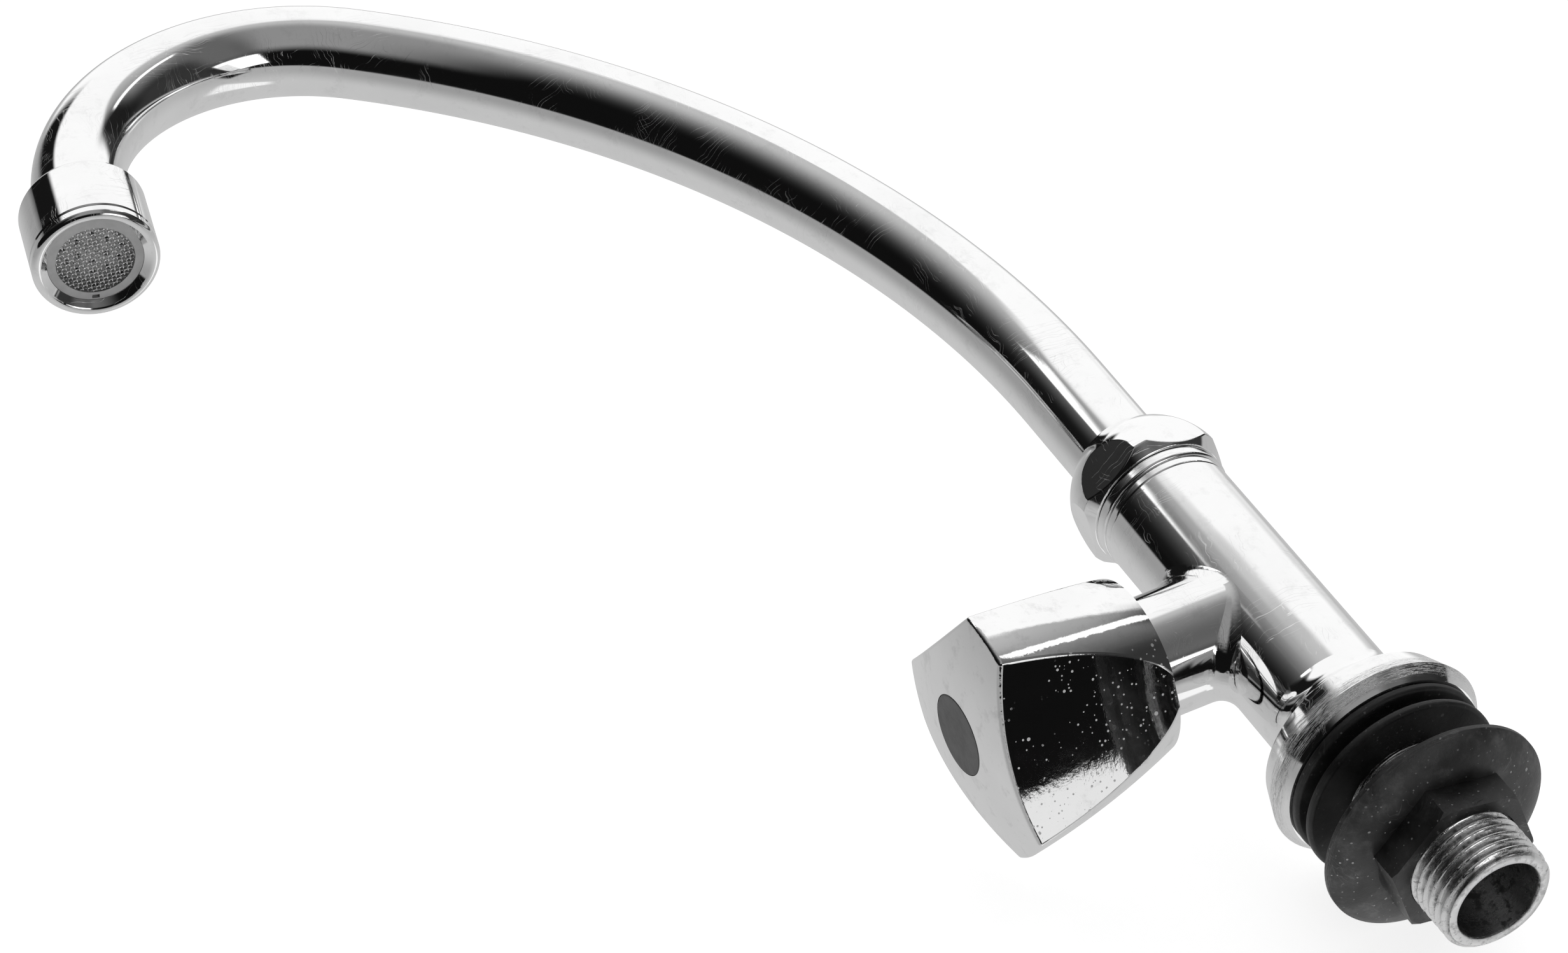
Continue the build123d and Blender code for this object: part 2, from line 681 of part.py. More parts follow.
# ---- outlet socket and aerator ------------------------------------------------------------------
flow = crook % 1
tip = (crook @ 1) + flow * OUTLET_RUN
OUTLET = Plane(origin=tip, x_dir=flow, z_dir=SPOUT.z_dir)
OUTLET_AXIS = Axis(tip, flow)
SEAT_X = -9.0             # end of the tube and floor of the threaded counterbore
SEAM_X = -2.4             # parting line between the socket and the aerator's rim
INSERT_TOP = -7.55
LEDGE_X = -6.0
CAGE_R = 9.05
MESH_R = 7.55
MESH_PITCH = 1.25


def outlet_plane(distance):
    """Plane across the outlet, facing downstream, at a distance past the rim."""
    return Plane(origin=tip + flow * distance, x_dir=SPOUT.z_dir, z_dir=flow)


with BuildPart() as outlet_socket:
    with BuildSketch(OUTLET):
        outline(
            (-SHELL_LENGTH, TUBE_R),
            (-SHELL_LENGTH, TUBE_R + 0.7),
            (-SHELL_LENGTH + 2.4, SHELL_R - 0.4),
            (-SHELL_LENGTH + 3.2, SHELL_R),
            (SEAM_X - 0.45, SHELL_R),
            (SEAM_X - 0.2, SHELL_R - 0.25),
            (SEAM_X - 0.2, OUTLET_THREAD_R + 0.05),
            (SEAT_X, OUTLET_THREAD_R + 0.05),
            (SEAT_X, TUBE_R),
        )
    revolve(axis=OUTLET_AXIS)

outlet_socket.part.label = "outlet_socket"
export_step(outlet_socket.part, "parts/outlet_socket.step")

with BuildPart() as aerator_gasket:
    with BuildSketch(outlet_plane(SEAT_X)):
        Circle(10.4)
        Circle(7.9, mode=Mode.SUBTRACT)
    extrude(amount=INSERT_TOP - FACE_GAP - SEAT_X)

aerator_gasket.part.label = "aerator_gasket"
export_step(aerator_gasket.part, "parts/aerator_gasket.step")

with BuildPart() as aerator_ring:
    with BuildSketch(OUTLET):
        with BuildLine():
            wall = Polyline(
                (-0.2, RIM_R + 0.2),
                (-1.2, CAGE_R),
                (LEDGE_X, CAGE_R),
                (LEDGE_X, 10.15),
                (INSERT_TOP + 0.3, 10.15),
                (INSERT_TOP + 0.3, OUTLET_THREAD_R - 0.3),
                (INSERT_TOP + 0.6, OUTLET_THREAD_R),
                (SEAM_X, OUTLET_THREAD_R),
                (SEAM_X, SHELL_R - 0.25),
                (SEAM_X + 0.25, SHELL_R),
                (-0.9, SHELL_R),
            )
            ThreePointArc(wall @ 1, (0, (RIM_R + SHELL_R) / 2 + 0.1), wall @ 0)
        make_face()
    revolve(axis=OUTLET_AXIS)

aerator_ring.part.label = "aerator_ring"
export_step(aerator_ring.part, "parts/aerator_ring.step")

with BuildPart() as aerator_cage:
    with BuildSketch(OUTLET):
        outline(
            (INSERT_TOP, 8.0),
            (INSERT_TOP, 10.1),
            (LEDGE_X - FACE_GAP, 10.1),
            (LEDGE_X - FACE_GAP, CAGE_R - RUNNING),
            (-1.3, CAGE_R - RUNNING),
            (-1.3, MESH_R - 0.15),
            (-1.5, MESH_R - 0.15),
            (-1.5, MESH_R),
            (-6.9, MESH_R),
            (-6.9, 8.0),
        )
    revolve(axis=OUTLET_AXIS)
    with BuildSketch(outlet_plane(-2.0)):
        with Locations((8.3, 0)):
            Rectangle(0.8, 1.4)
    extrude(amount=0.7, mode=Mode.SUBTRACT)
    with BuildSketch(outlet_plane(-4.6)):
        with PolarLocations(8.3, 8):
            Rectangle(1.6, 1.6)
    extrude(amount=1.2, mode=Mode.SUBTRACT)

aerator_cage.part.label = "aerator_cage"
export_step(aerator_cage.part, "parts/aerator_cage.step")

with BuildPart() as aerator_inlet_screen:
    with BuildSketch(outlet_plane(INSERT_TOP)):
        Circle(8.0)
        with GridLocations(1.6, 1.6, 9, 9) as holes:
            pass
        near = [spot for spot in holes.local_locations if spot.position.length < 6.8]
        with Locations(near):
            Circle(0.5, mode=Mode.SUBTRACT)
    extrude(amount=-6.9 - INSERT_TOP)

aerator_inlet_screen.part.label = "aerator_inlet_screen"
export_step(aerator_inlet_screen.part, "parts/aerator_inlet_screen.step")

with BuildPart() as aerator_diffuser:
    with BuildSketch(outlet_plane(-6.2)):
        Circle(MESH_R)
        with PolarLocations(5.6, 12):
            Circle(0.6, mode=Mode.SUBTRACT)
        with PolarLocations(3.2, 6):
            Circle(0.6, mode=Mode.SUBTRACT)
    extrude(amount=1.0)
    with BuildSketch(outlet_plane(-5.2)):
        Circle(1.8)
    extrude(amount=1.2, taper=30)

aerator_diffuser.part.label = "aerator_diffuser"
export_step(aerator_diffuser.part, "parts/aerator_diffuser.step")

with BuildPart() as aerator_mesh:
    with BuildSketch(outlet_plane(-2.1)):
        Circle(MESH_R)
        Circle(MESH_R - 0.45, mode=Mode.SUBTRACT)
        for turn in (0, 90):
            with GridLocations(MESH_PITCH, 2 * MESH_R, 11, 1) as wires:
                pass
            for wire in wires.local_locations:
                offset = wire.position.X
                length = 2 * sqrt((MESH_R - 0.2) ** 2 - offset**2)
                with Locations(Pos(offset * (turn == 0), offset * (turn == 90))):
                    Rectangle(0.4, length, rotation=turn)
    extrude(amount=0.6)

aerator_mesh.part.label = "aerator_mesh"
export_step(aerator_mesh.part, "parts/aerator_mesh.step")
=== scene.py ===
"""Looks of the swan-neck pillar tap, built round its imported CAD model. Metres."""
import math

import bpy
from mathutils import Matrix, Vector


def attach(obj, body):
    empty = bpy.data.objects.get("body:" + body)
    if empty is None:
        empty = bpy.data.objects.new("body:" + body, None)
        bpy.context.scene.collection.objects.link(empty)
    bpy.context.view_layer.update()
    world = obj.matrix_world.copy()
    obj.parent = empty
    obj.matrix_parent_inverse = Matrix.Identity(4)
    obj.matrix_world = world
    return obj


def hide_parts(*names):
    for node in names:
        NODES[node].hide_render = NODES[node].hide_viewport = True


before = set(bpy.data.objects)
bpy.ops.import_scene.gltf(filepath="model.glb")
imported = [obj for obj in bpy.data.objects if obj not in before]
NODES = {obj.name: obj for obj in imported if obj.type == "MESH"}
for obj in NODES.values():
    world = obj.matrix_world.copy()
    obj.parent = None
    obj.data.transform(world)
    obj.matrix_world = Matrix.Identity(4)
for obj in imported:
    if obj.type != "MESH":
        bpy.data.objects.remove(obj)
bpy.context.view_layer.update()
MM = 0.001

# ---- sizes shared with the CAD model, in metres ---------------------------------------------
THREAD_R = 10.46 * MM
THREAD_PITCH = 1.814 * MM
THREAD_DEPTH = 1.05 * MM
SHANK_END = -33.5 * MM
SHANK_BORE_R = 7.83 * MM
SHANK_INNER_R = 7.0 * MM
SPIGOT_R = 9.5 * MM
SPIGOT_TOP = 15.0 * MM
SWIVEL = math.radians(6.5)
TUBE_R = 8.75 * MM
TUBE_INNER_R = 7.55 * MM
TUBE_START = 86.0 * MM
RISER_TOP = 110.5 * MM
NECK_BEND_R = 176.7 * MM
NECK_BEND = math.radians(55.5)
CROOK_R = 43.3 * MM
CROOK = math.radians(112.1)
OUTLET_RUN = 17.4 * MM
TUBE_END_SHORT = 9.0 * MM

REACH = Vector((math.sin(SWIVEL), -math.cos(SWIVEL), 0.0))
SIDE = Vector((-math.cos(SWIVEL), -math.sin(SWIVEL), 0.0))
UP = Vector((0.0, 0.0, 1.0))


# ---- camera ---------------------------------------------------------------------------------
CAMERA_BEARING = math.radians(-24.904)    # of the camera from the tap, from +X towards +Y
CAMERA_RISE = math.radians(-41.605)
CAMERA_ROLL = math.radians(-37.731)
CAMERA_PLACE = Vector((661.11, -368.44, -531.89)) * MM
CAMERA_LENS = 125.12
CAMERA_SHIFT = (0.0204, 0.0091)

LEVEL_RIGHT = Vector((-math.sin(CAMERA_BEARING), math.cos(CAMERA_BEARING), 0.0))
VIEW_BACK = Vector(
    (
        math.cos(CAMERA_RISE) * math.cos(CAMERA_BEARING),
        math.cos(CAMERA_RISE) * math.sin(CAMERA_BEARING),
        math.sin(CAMERA_RISE),
    )
)
LEVEL_UP = VIEW_BACK.cross(LEVEL_RIGHT)
VIEW_RIGHT = LEVEL_RIGHT * math.cos(CAMERA_ROLL) + LEVEL_UP * math.sin(CAMERA_ROLL)
VIEW_UP = LEVEL_UP * math.cos(CAMERA_ROLL) - LEVEL_RIGHT * math.sin(CAMERA_ROLL)


def place_camera():
    """The camera at the photograph's angle."""
    data = bpy.data.cameras.new("photo_camera")
    data.sensor_width = 36.0
    data.lens = CAMERA_LENS
    data.shift_x, data.shift_y = CAMERA_SHIFT
    data.clip_start = 0.02
    data.clip_end = 50.0
    camera = bpy.data.objects.new("photo_camera", data)
    bpy.context.scene.collection.objects.link(camera)
    axes = Matrix((VIEW_RIGHT, VIEW_UP, VIEW_BACK)).transposed().to_4x4()
    camera.matrix_world = Matrix.Translation(CAMERA_PLACE) @ axes
    bpy.context.scene.camera = camera
    bpy.context.scene.view_settings.view_transform = "Standard"


place_camera()


# ---- node helpers ---------------------------------------------------------------------------
class Graph:
    """A small builder for shader node trees."""

    def __init__(self, tree):
        self.tree = tree
        tree.nodes.clear()

    def node(self, kind, inputs=(), **settings):
        made = self.tree.nodes.new(kind)
        for key, value in settings.items():
            setattr(made, key, value)
        for key, value in dict(inputs).items():
            self.put(made.inputs[key], value)
        return made

    def put(self, socket, value):
        if isinstance(value, bpy.types.NodeSocket):
            self.tree.links.new(value, socket)
        elif value is not None:
            socket.default_value = value

    def math(self, operation, a, b=None, c=None):
        made = self.node("ShaderNodeMath", operation=operation)
        for slot, value in zip(made.inputs, (a, b, c)):
            self.put(slot, value)
        return made.outputs[0]

    def vector_math(self, operation, a, b=None):
        made = self.node("ShaderNodeVectorMath", operation=operation)
        for slot, value in zip(made.inputs, (a, b)):
            self.put(slot, value)
        return made.outputs["Value" if operation == "DOT_PRODUCT" else "Vector"]

    def ramp(self, value, low, high, out_low=0.0, out_high=1.0):
        """Maps low..high smoothly to out_low..out_high, held at both ends."""
        made = self.node(
            "ShaderNodeMapRange",
            {0: value, 1: low, 2: high, 3: out_low, 4: out_high},
            interpolation_type="SMOOTHSTEP",
        )
        return made.outputs[0]

    def mix(self, factor, a, b):
        """Mixes two numbers."""
        made = self.node("ShaderNodeMix", {0: factor, 2: a, 3: b}, data_type="FLOAT")
        return made.outputs[0]

    def tint(self, factor, a, b):
        """Mixes two colours."""
        made = self.node("ShaderNodeMix", {0: factor, 6: a, 7: b}, data_type="RGBA")
        return made.outputs[2]

    def noise(self, vector, scale, detail=3.0, roughness=0.5):
        made = self.node(
            "ShaderNodeTexNoise",
            {"Vector": vector, "Scale": scale, "Detail": detail, "Roughness": roughness},
        )
        return made.outputs[0]

    def stretch(self, vector, scale, rotation=(0.0, 0.0, 0.0)):
        made = self.node("ShaderNodeMapping", {"Vector": vector, "Scale": scale, "Rotation": rotation})
        return made.outputs[0]

    def wobble(self, vector, scale, reach):
        """Moves each point a little way by a noise."""
        noise = self.node("ShaderNodeTexNoise", {"Vector": vector, "Scale": scale})
        shift = self.node(
            "ShaderNodeVectorMath",
            {"Vector": noise.outputs["Color"], "Scale": reach},
            operation="SCALE",
        )
        return self.vector_math("ADD", vector, shift.outputs["Vector"])

    def scratches(self, vector, seed, scale, length, width):
        """Thin random scratches: 1 on a scratch and 0 elsewhere."""
        turned = self.stretch(vector, (1.0, 1.0, 1.0), (0.7 * seed, 1.3 * seed, 2.1 * seed))
        bent = self.wobble(turned, scale=scale * 0.15, reach=4.0 * MM)
        drawn = self.stretch(bent, (scale, scale / length, scale / length))
        value = self.noise(drawn, 1.0, 1.0, 0.4)
        line = self.math("ABSOLUTE", self.math("SUBTRACT", value, 0.5))
        near = self.ramp(line, 0.0, width, 1.0, 0.0)
        patch = self.ramp(self.noise(vector, scale * 0.08 + seed, 2.0), 0.5, 0.62)
        return self.math("MULTIPLY", near, patch)

    def specks(self, vector, scale, chance, size):
        """Small random round specks: 1 inside a speck and 0 elsewhere."""
        cell = self.node("ShaderNodeTexVoronoi", {"Vector": vector, "Scale": scale})
        dice = self.node("ShaderNodeSeparateColor", {0: cell.outputs["Color"]}).outputs
        lucky = self.math("LESS_THAN", dice[0], chance)
        inside = self.math("LESS_THAN", cell.outputs["Distance"], self.math("MULTIPLY", dice[1], size))
        return self.math("MULTIPLY", lucky, inside)


def material(name):
    """A new material with its graph, its shader and each point's place on the object."""
    made = bpy.data.materials.new(name)
    made.use_nodes = True
    graph = Graph(made.node_tree)
    shader = graph.node("ShaderNodeBsdfPrincipled")
    output = graph.node("ShaderNodeOutputMaterial")
    graph.tree.links.new(shader.outputs[0], output.inputs[0])
    place = graph.node("ShaderNodeTexCoord").outputs["Object"]
    return made, graph, shader, place


def grey(value):
    return (value, value, value, 1.0)


def bump(graph, shader, height, distance):
    made = graph.node("ShaderNodeBump", {"Height": height, "Distance": distance, "Strength": 1.0})
    graph.put(shader.inputs["Normal"], made.outputs[0])


# ---- materials ------------------------------------------------------------------------------
SPLASHED = (0.61, 0.07, -0.79)    # the way the handle's water-spotted side faces at rest
FINE_BUMP = 0.01 * MM
SCRATCH_RUN = 3.5 * MM            # how slowly a turned scratch changes along its arc
LIP_FADE = 1.2 * MM
DULL_BRASS = (0.62, 0.44, 0.19, 1.0)
FRESH_BRASS = (0.78, 0.58, 0.28, 1.0)
ROOT_R = 9.4 * MM
CREST_R = 10.1 * MM
MOUTH_R = 8.0 * MM                # where the shank's end face meets its bore


def away_from_axis(graph, place):
    """The distance from the Z axis, the turn about it and the height, of each point."""
    parts = graph.node("ShaderNodeSeparateXYZ", {0: place}).outputs
    squared = graph.math("ADD", graph.math("POWER", parts[0], 2.0), graph.math("POWER", parts[1], 2.0))
    return graph.math("SQRT", squared), graph.math("ARCTAN2", parts[1], parts[0]), parts[2]


def turned_lines(graph, place, fineness, width):
    """Thin broken scratches that run round the Z axis: 1 on a scratch and 0 elsewhere."""
    out, turn, height = away_from_axis(graph, place)
    along = graph.math("MULTIPLY", turn, SCRATCH_RUN)
    polar = graph.node("ShaderNodeCombineXYZ", {0: along, 1: out, 2: height}).outputs[0]
    ringed = graph.noise(graph.stretch(polar, (900.0, fineness, fineness)), 1.0, 3.0, 0.7)
    return graph.ramp(graph.math("ABSOLUTE", graph.math("SUBTRACT", ringed, 0.5)), 0.0, width, 1.0, 0.0)


def chrome(
    name,
    base=0.93,
    rough=0.035,
    smudge=0.05,
    stains=0.06,
    scratch=0.2,
    spots=False,
    lip=None,
    wave=0.0,
    ripple=0.0,
    polish=None,
):
    """Bright plating with smudges and scratches, and dried water spots or a scraped lip where asked."""
    made, g, shader, place = material(name)
    metallic = 1.0
    cloud = g.noise(place, 55.0, 4.0, 0.6)
    fine = g.noise(place, 900.0, 3.0, 0.6)
    film = g.ramp(cloud, 0.42, 0.72)
    stain = g.ramp(g.noise(place, 240.0, 5.0, 0.7), 0.52, 0.70)
    roughness = g.math("ADD", g.math("MULTIPLY_ADD", film, smudge, rough), g.math("MULTIPLY", fine, 0.02))
    roughness = g.math("ADD", roughness, g.math("MULTIPLY", stain, smudge * 0.8))
    tone = g.ramp(cloud, 0.3, 0.8, base, base - 0.05)
    tone = g.math("SUBTRACT", tone, g.math("MULTIPLY", stain, stains))
    height = g.math("MULTIPLY", g.noise(place, 36.0, 1.5, 0.4), wave)
    height = g.math("ADD", height, g.math("MULTIPLY", g.noise(place, 620.0, 3.0, 0.6), ripple))
    if scratch:
        fibres = g.scratches(place, seed=1.0, scale=1400.0, length=30.0, width=0.006)
        longer = g.scratches(place, seed=2.3, scale=900.0, length=40.0, width=0.004)
        fibres = g.math("MAXIMUM", fibres, longer)
        roughness = g.math("ADD", roughness, g.math("MULTIPLY", fibres, scratch))
        height = g.math("ADD", height, g.math("MULTIPLY", fibres, -0.6))
    if polish:
        lines = g.noise(g.stretch(place, polish), 1.0, 2.0, 0.6)
        height = g.math("ADD", height, g.math("MULTIPLY", lines, 0.16))
    if spots:
        small = g.specks(place, scale=1150.0, chance=0.95, size=0.28)
        large = g.specks(place, scale=380.0, chance=0.50, size=0.15)
        patchy = g.ramp(g.noise(place, 80.0, 2.0), 0.40, 0.48)
        dried = g.math("MAXIMUM", g.math("MULTIPLY", small, patchy), large)
        facing = g.vector_math("DOT_PRODUCT", g.node("ShaderNodeTexCoord").outputs["Normal"], SPLASHED)
        dried = g.math("MULTIPLY", dried, g.ramp(facing, 0.86, 0.94))
        roughness = g.math("ADD", roughness, g.math("MULTIPLY", dried, 0.6))
        metallic = g.math("SUBTRACT", 1.0, g.math("MULTIPLY", dried, 0.9))
        tone = g.mix(dried, tone, 0.80)
        height = g.math("ADD", height, g.math("MULTIPLY", dried, 0.5))
    if lip:
        low, high, radius = lip
        out, _, level = away_from_axis(g, place)
        line = turned_lines(g, place, fineness=5200.0, width=0.035)
        below = g.ramp(level, high, high + LIP_FADE, 1.0, 0.0)
        zone = g.math("MULTIPLY", g.ramp(out, radius - LIP_FADE, radius), below)
        zone = g.math("MULTIPLY", zone, g.ramp(level, low - LIP_FADE / 2, low, 0.0, 1.0))
        worn = g.math("MULTIPLY", line, zone)
        roughness = g.math("ADD", roughness, g.math("MULTIPLY", worn, 0.3))
        height = g.math("ADD", height, g.math("MULTIPLY", worn, -2.2))
    g.put(shader.inputs["Metallic"], metallic)
    g.put(shader.inputs["Roughness"], roughness)
    g.put(shader.inputs["Base Color"], g.tint(0.5, tone, tone))
    bump(g, shader, height, FINE_BUMP)
    return made


def plated_thread(name):
    """Worn plating with nicks and grime patches, bright on the crests and the end face, with painted shade
    darkening the thread roots and the bore.
    """
    made, g, shader, place = material(name)
    shader.inputs["Metallic"].default_value = 1.0
    out, _, level = away_from_axis(g, place)
    crest = g.ramp(out, ROOT_R, CREST_R)
    near_end = g.ramp(level, SHANK_END + 0.3 * MM, SHANK_END + 0.45 * MM, 1.0, 0.0)
    end = g.math("MULTIPLY", near_end, g.ramp(out, MOUTH_R, MOUTH_R + 0.2 * MM))
    bore = g.ramp(out, MOUTH_R - 0.1 * MM, MOUTH_R + 0.1 * MM, 1.0, 0.0)
    bright = g.math("MAXIMUM", crest, end)
    cloud = g.noise(place, 420.0, 5.0, 0.7)
    sheltered = g.math("SUBTRACT", 1.0, g.math("MULTIPLY", bright, 0.6))
    grime = g.math("MULTIPLY", g.ramp(cloud, 0.50, 0.62), sheltered)
    nicks = g.ramp(g.noise(place, 900.0, 3.0, 0.6), 0.62, 0.68)
    # painted shade: the thread roots take a darker tone than the crests and the end face
    tone = g.mix(bright, 0.50, 0.93)
    tone = g.math("MULTIPLY", tone, g.math("SUBTRACT", 1.0, g.math("MULTIPLY", grime, 0.6)))
    tone = g.math("MULTIPLY", tone, g.math("SUBTRACT", 1.0, g.math("MULTIPLY", nicks, 0.4)))
    # painted shade inside the bore
    tone = g.math("MULTIPLY", tone, g.math("SUBTRACT", 1.0, g.math("MULTIPLY", bore, 0.35)))
    lines = turned_lines(g, place, fineness=4200.0, width=0.03)
    roughness = g.math("ADD", g.mix(crest, 0.26, 0.09), g.math("MULTIPLY", grime, 0.3))
    roughness = g.math("ADD", roughness, g.math("MULTIPLY", end, 0.12))
    g.put(shader.inputs["Base Color"], g.tint(0.5, tone, tone))
    g.put(shader.inputs["Roughness"], roughness)
    rough_height = g.math("ADD", g.noise(place, 1500.0, 4.0, 0.7), g.math("MULTIPLY", lines, -0.5))
    rough_height = g.math("SUBTRACT", rough_height, nicks)
    bump(g, shader, rough_height, 1.4 * FINE_BUMP)
    return made


def soft_black(name, base, rough, grain, dust, rim_radius=None):
    """Black rubber or moulded plastic with grain, dust, scuffs and a lighter worn rim."""
    made, g, shader, place = material(name)
    cloud = g.noise(place, 70.0, 4.0, 0.6)
    tone = g.ramp(cloud, 0.34, 0.68, base * 0.5, base * 2.6)
    lumps = g.wobble(place, scale=2500.0, reach=0.3 * MM)
    fine_dust = g.specks(lumps, scale=1100.0, chance=0.70, size=0.24)
    flecks = g.specks(lumps, scale=420.0, chance=0.20, size=0.17)
    specks = g.math("MAXIMUM", fine_dust, flecks)
    gathered = g.ramp(g.noise(place, 85.0, 3.0, 0.6), 0.40, 0.62, 0.25, 1.0)
    haze = g.math("MULTIPLY", g.ramp(g.noise(place, 130.0, 6.0, 0.75), 0.48, 0.72), 0.06 * dust)
    fibres = g.scratches(place, seed=3.3, scale=1100.0, length=9.0, width=0.012)
    tone = g.math("ADD", tone, haze)
    tone = g.math("ADD", tone, g.math("MULTIPLY", fibres, 0.08 * dust))
    if rim_radius:
        out, _, _ = away_from_axis(g, place)
        worn = g.ramp(out, rim_radius - 1.2 * MM, rim_radius + 0.2 * MM)
        gaps = g.ramp(g.noise(place, 160.0, 3.0), 0.4, 0.65)
        broken = g.math("MULTIPLY", turned_lines(g, place, fineness=2600.0, width=0.05), gaps)
        tone = g.math("ADD", tone, g.math("MULTIPLY", g.math("MULTIPLY", worn, broken), 0.09 * dust))
    tone = g.math("ADD", tone, g.math("MULTIPLY", g.math("MULTIPLY", specks, gathered), 0.34 * dust))
    g.put(shader.inputs["Base Color"], g.tint(0.5, tone, tone))
    g.put(shader.inputs["Roughness"], g.ramp(cloud, 0.3, 0.8, rough - 0.08, rough + 0.1))
    shader.inputs["Specular IOR Level"].default_value = 0.45
    height = g.math("ADD", g.noise(place, 1300.0, 4.0, 0.65), g.math("MULTIPLY", fibres, -0.7))
    bump(g, shader, height, grain)
    return made


def plain_plastic(name, base, rough):
    """Plain moulded plastic with faint mottling."""
    made, g, shader, place = material(name)
    cloud = g.noise(place, 400.0, 4.0, 0.6)
    tone = g.ramp(cloud, 0.25, 0.8, base * 0.88, base * 1.06)
    g.put(shader.inputs["Base Color"], g.tint(0.5, tone, tone))
    g.put(shader.inputs["Roughness"], g.ramp(cloud, 0.3, 0.8, rough, rough + 0.12))
    bump(g, shader, g.noise(place, 1800.0, 3.0), 2 * FINE_BUMP)
    return made


def machined_brass(name):
    """Turned brass with fine tool marks."""
    made, g, shader, place = material(name)
    shader.inputs["Metallic"].default_value = 1.0
    cloud = g.noise(place, 180.0, 4.0, 0.6)
    g.put(shader.inputs["Base Color"], g.tint(g.ramp(cloud, 0.3, 0.7), DULL_BRASS, FRESH_BRASS))
    g.put(shader.inputs["Roughness"], g.ramp(cloud, 0.3, 0.7, 0.18, 0.34))
    bump(g, shader, g.noise(g.stretch(place, (300.0, 4000.0, 300.0)), 1.0, 3.0), 2 * FINE_BUMP)
    return made


def drawn_steel(name):
    """Fine steel wire and pressings."""
    made, g, shader, place = material(name)
    shader.inputs["Metallic"].default_value = 1.0
    cloud = g.noise(place, 500.0, 3.0, 0.6)
    tone = g.ramp(cloud, 0.3, 0.75, 0.74, 0.95)
    g.put(shader.inputs["Base Color"], g.tint(0.5, tone, tone))
    g.put(shader.inputs["Roughness"], g.ramp(cloud, 0.3, 0.7, 0.12, 0.26))
    bump(g, shader, g.noise(place, 3000.0, 2.0), FINE_BUMP)
    return made


CHROME = chrome("polished_chrome", wave=5.0)
FOOT_LIP = (1.5 * MM, 6.2 * MM, 20.0 * MM)    # lowest and highest level, and radius
CHROME_BODY = chrome("body_chrome", lip=FOOT_LIP, wave=11.0)
CHROME_HANDLE = chrome(
    "handle_chrome",
    rough=0.015,
    smudge=0.03,
    stains=0.13,
    scratch=0.0,
    spots=True,
    wave=2.0,
    ripple=0.7,
    polish=(60.0, 2400.0, 60.0),
)
CHROME_RING = chrome("collar_chrome", rough=0.10, scratch=0.5)
THREAD = plated_thread("plated_thread")
RUBBER = soft_black("rubber", base=0.012, rough=0.50, grain=3 * FINE_BUMP, dust=0.35, rim_radius=18.4 * MM)
NUT_PLASTIC = soft_black(
    "nut_plastic", base=0.022, rough=0.42, grain=4 * FINE_BUMP, dust=1.0, rim_radius=21.0 * MM
)
CAP_PLASTIC = plain_plastic("index_plastic", base=0.042, rough=0.34)
CAGE_PLASTIC = plain_plastic("cage_plastic", base=0.40, rough=0.42)
WHITE_PLASTIC = plain_plastic("white_plastic", base=0.75, rough=0.4)
BRASS = machined_brass("brass")
STEEL = drawn_steel("steel")

LOOKS = {
    "body": CHROME_BODY,
    "spout_tube": CHROME,
    "spout_nut": CHROME,
    "outlet_socket": CHROME,
    "aerator_ring": CHROME,
    "handle": CHROME_HANDLE,
    "lower_collar": CHROME_RING,
    "upper_collar": CHROME_RING,
    "inlet_shank": THREAD,
    "base_gasket": RUBBER,
    "lower_gasket": RUBBER,
    "back_nut": NUT_PLASTIC,
    "headwork_washer": RUBBER,
    "spindle_seal_inner": RUBBER,
    "spindle_seal_outer": RUBBER,
    "spout_seal_lower": RUBBER,
    "spout_seal_upper": RUBBER,
    "aerator_gasket": RUBBER,
    "valve_washer": RUBBER,
    "index_cap": CAP_PLASTIC,
    "aerator_cage": CAGE_PLASTIC,
    "aerator_inlet_screen": CAGE_PLASTIC,
    "aerator_diffuser": WHITE_PLASTIC,
    "slide_washer": WHITE_PLASTIC,
    "aerator_mesh": STEEL,
    "handle_screw": STEEL,
    "spindle_circlip": STEEL,
    "headwork_body": BRASS,
    "spindle": BRASS,
    "valve_piston": BRASS,
    "washer_screw": BRASS,
    "spout_ferrule": BRASS,
    "spout_retaining_ring": BRASS,
}
for node_name, look in LOOKS.items():
    mesh = NODES[node_name].data
    mesh.materials.clear()
    mesh.materials.append(look)


# ---- mesh helpers ---------------------------------------------------------------------------
def piece(name, points, faces, look, body, replaced=(), crease=40.0):
    """A new visible piece from points and faces, riding on a body."""
    mesh = bpy.data.meshes.new(name)
    mesh.from_pydata([tuple(p) for p in points], [], faces)
    mesh.validate()
    mesh.shade_smooth()
    mesh.set_sharp_from_angle(angle=math.radians(crease))
    mesh.materials.append(look)
    made = bpy.data.objects.new(name, mesh)
    bpy.context.scene.collection.objects.link(made)
    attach(made, body)
    if replaced:
        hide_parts(*replaced)
    return made


def ring_faces(rings, columns, start=0, closed=True):
    """Quads between rings of points that each go once round."""
    faces = []
    last = rings if closed else rings - 1
    for row in range(last):
        upper = (row + 1) % rings
        for column in range(columns):
            beside = (column + 1) % columns
            faces.append(
                (
                    start + row * columns + column,
                    start + row * columns + beside,
                    start + upper * columns + beside,
                    start + upper * columns + column,
                )
            )
    return faces


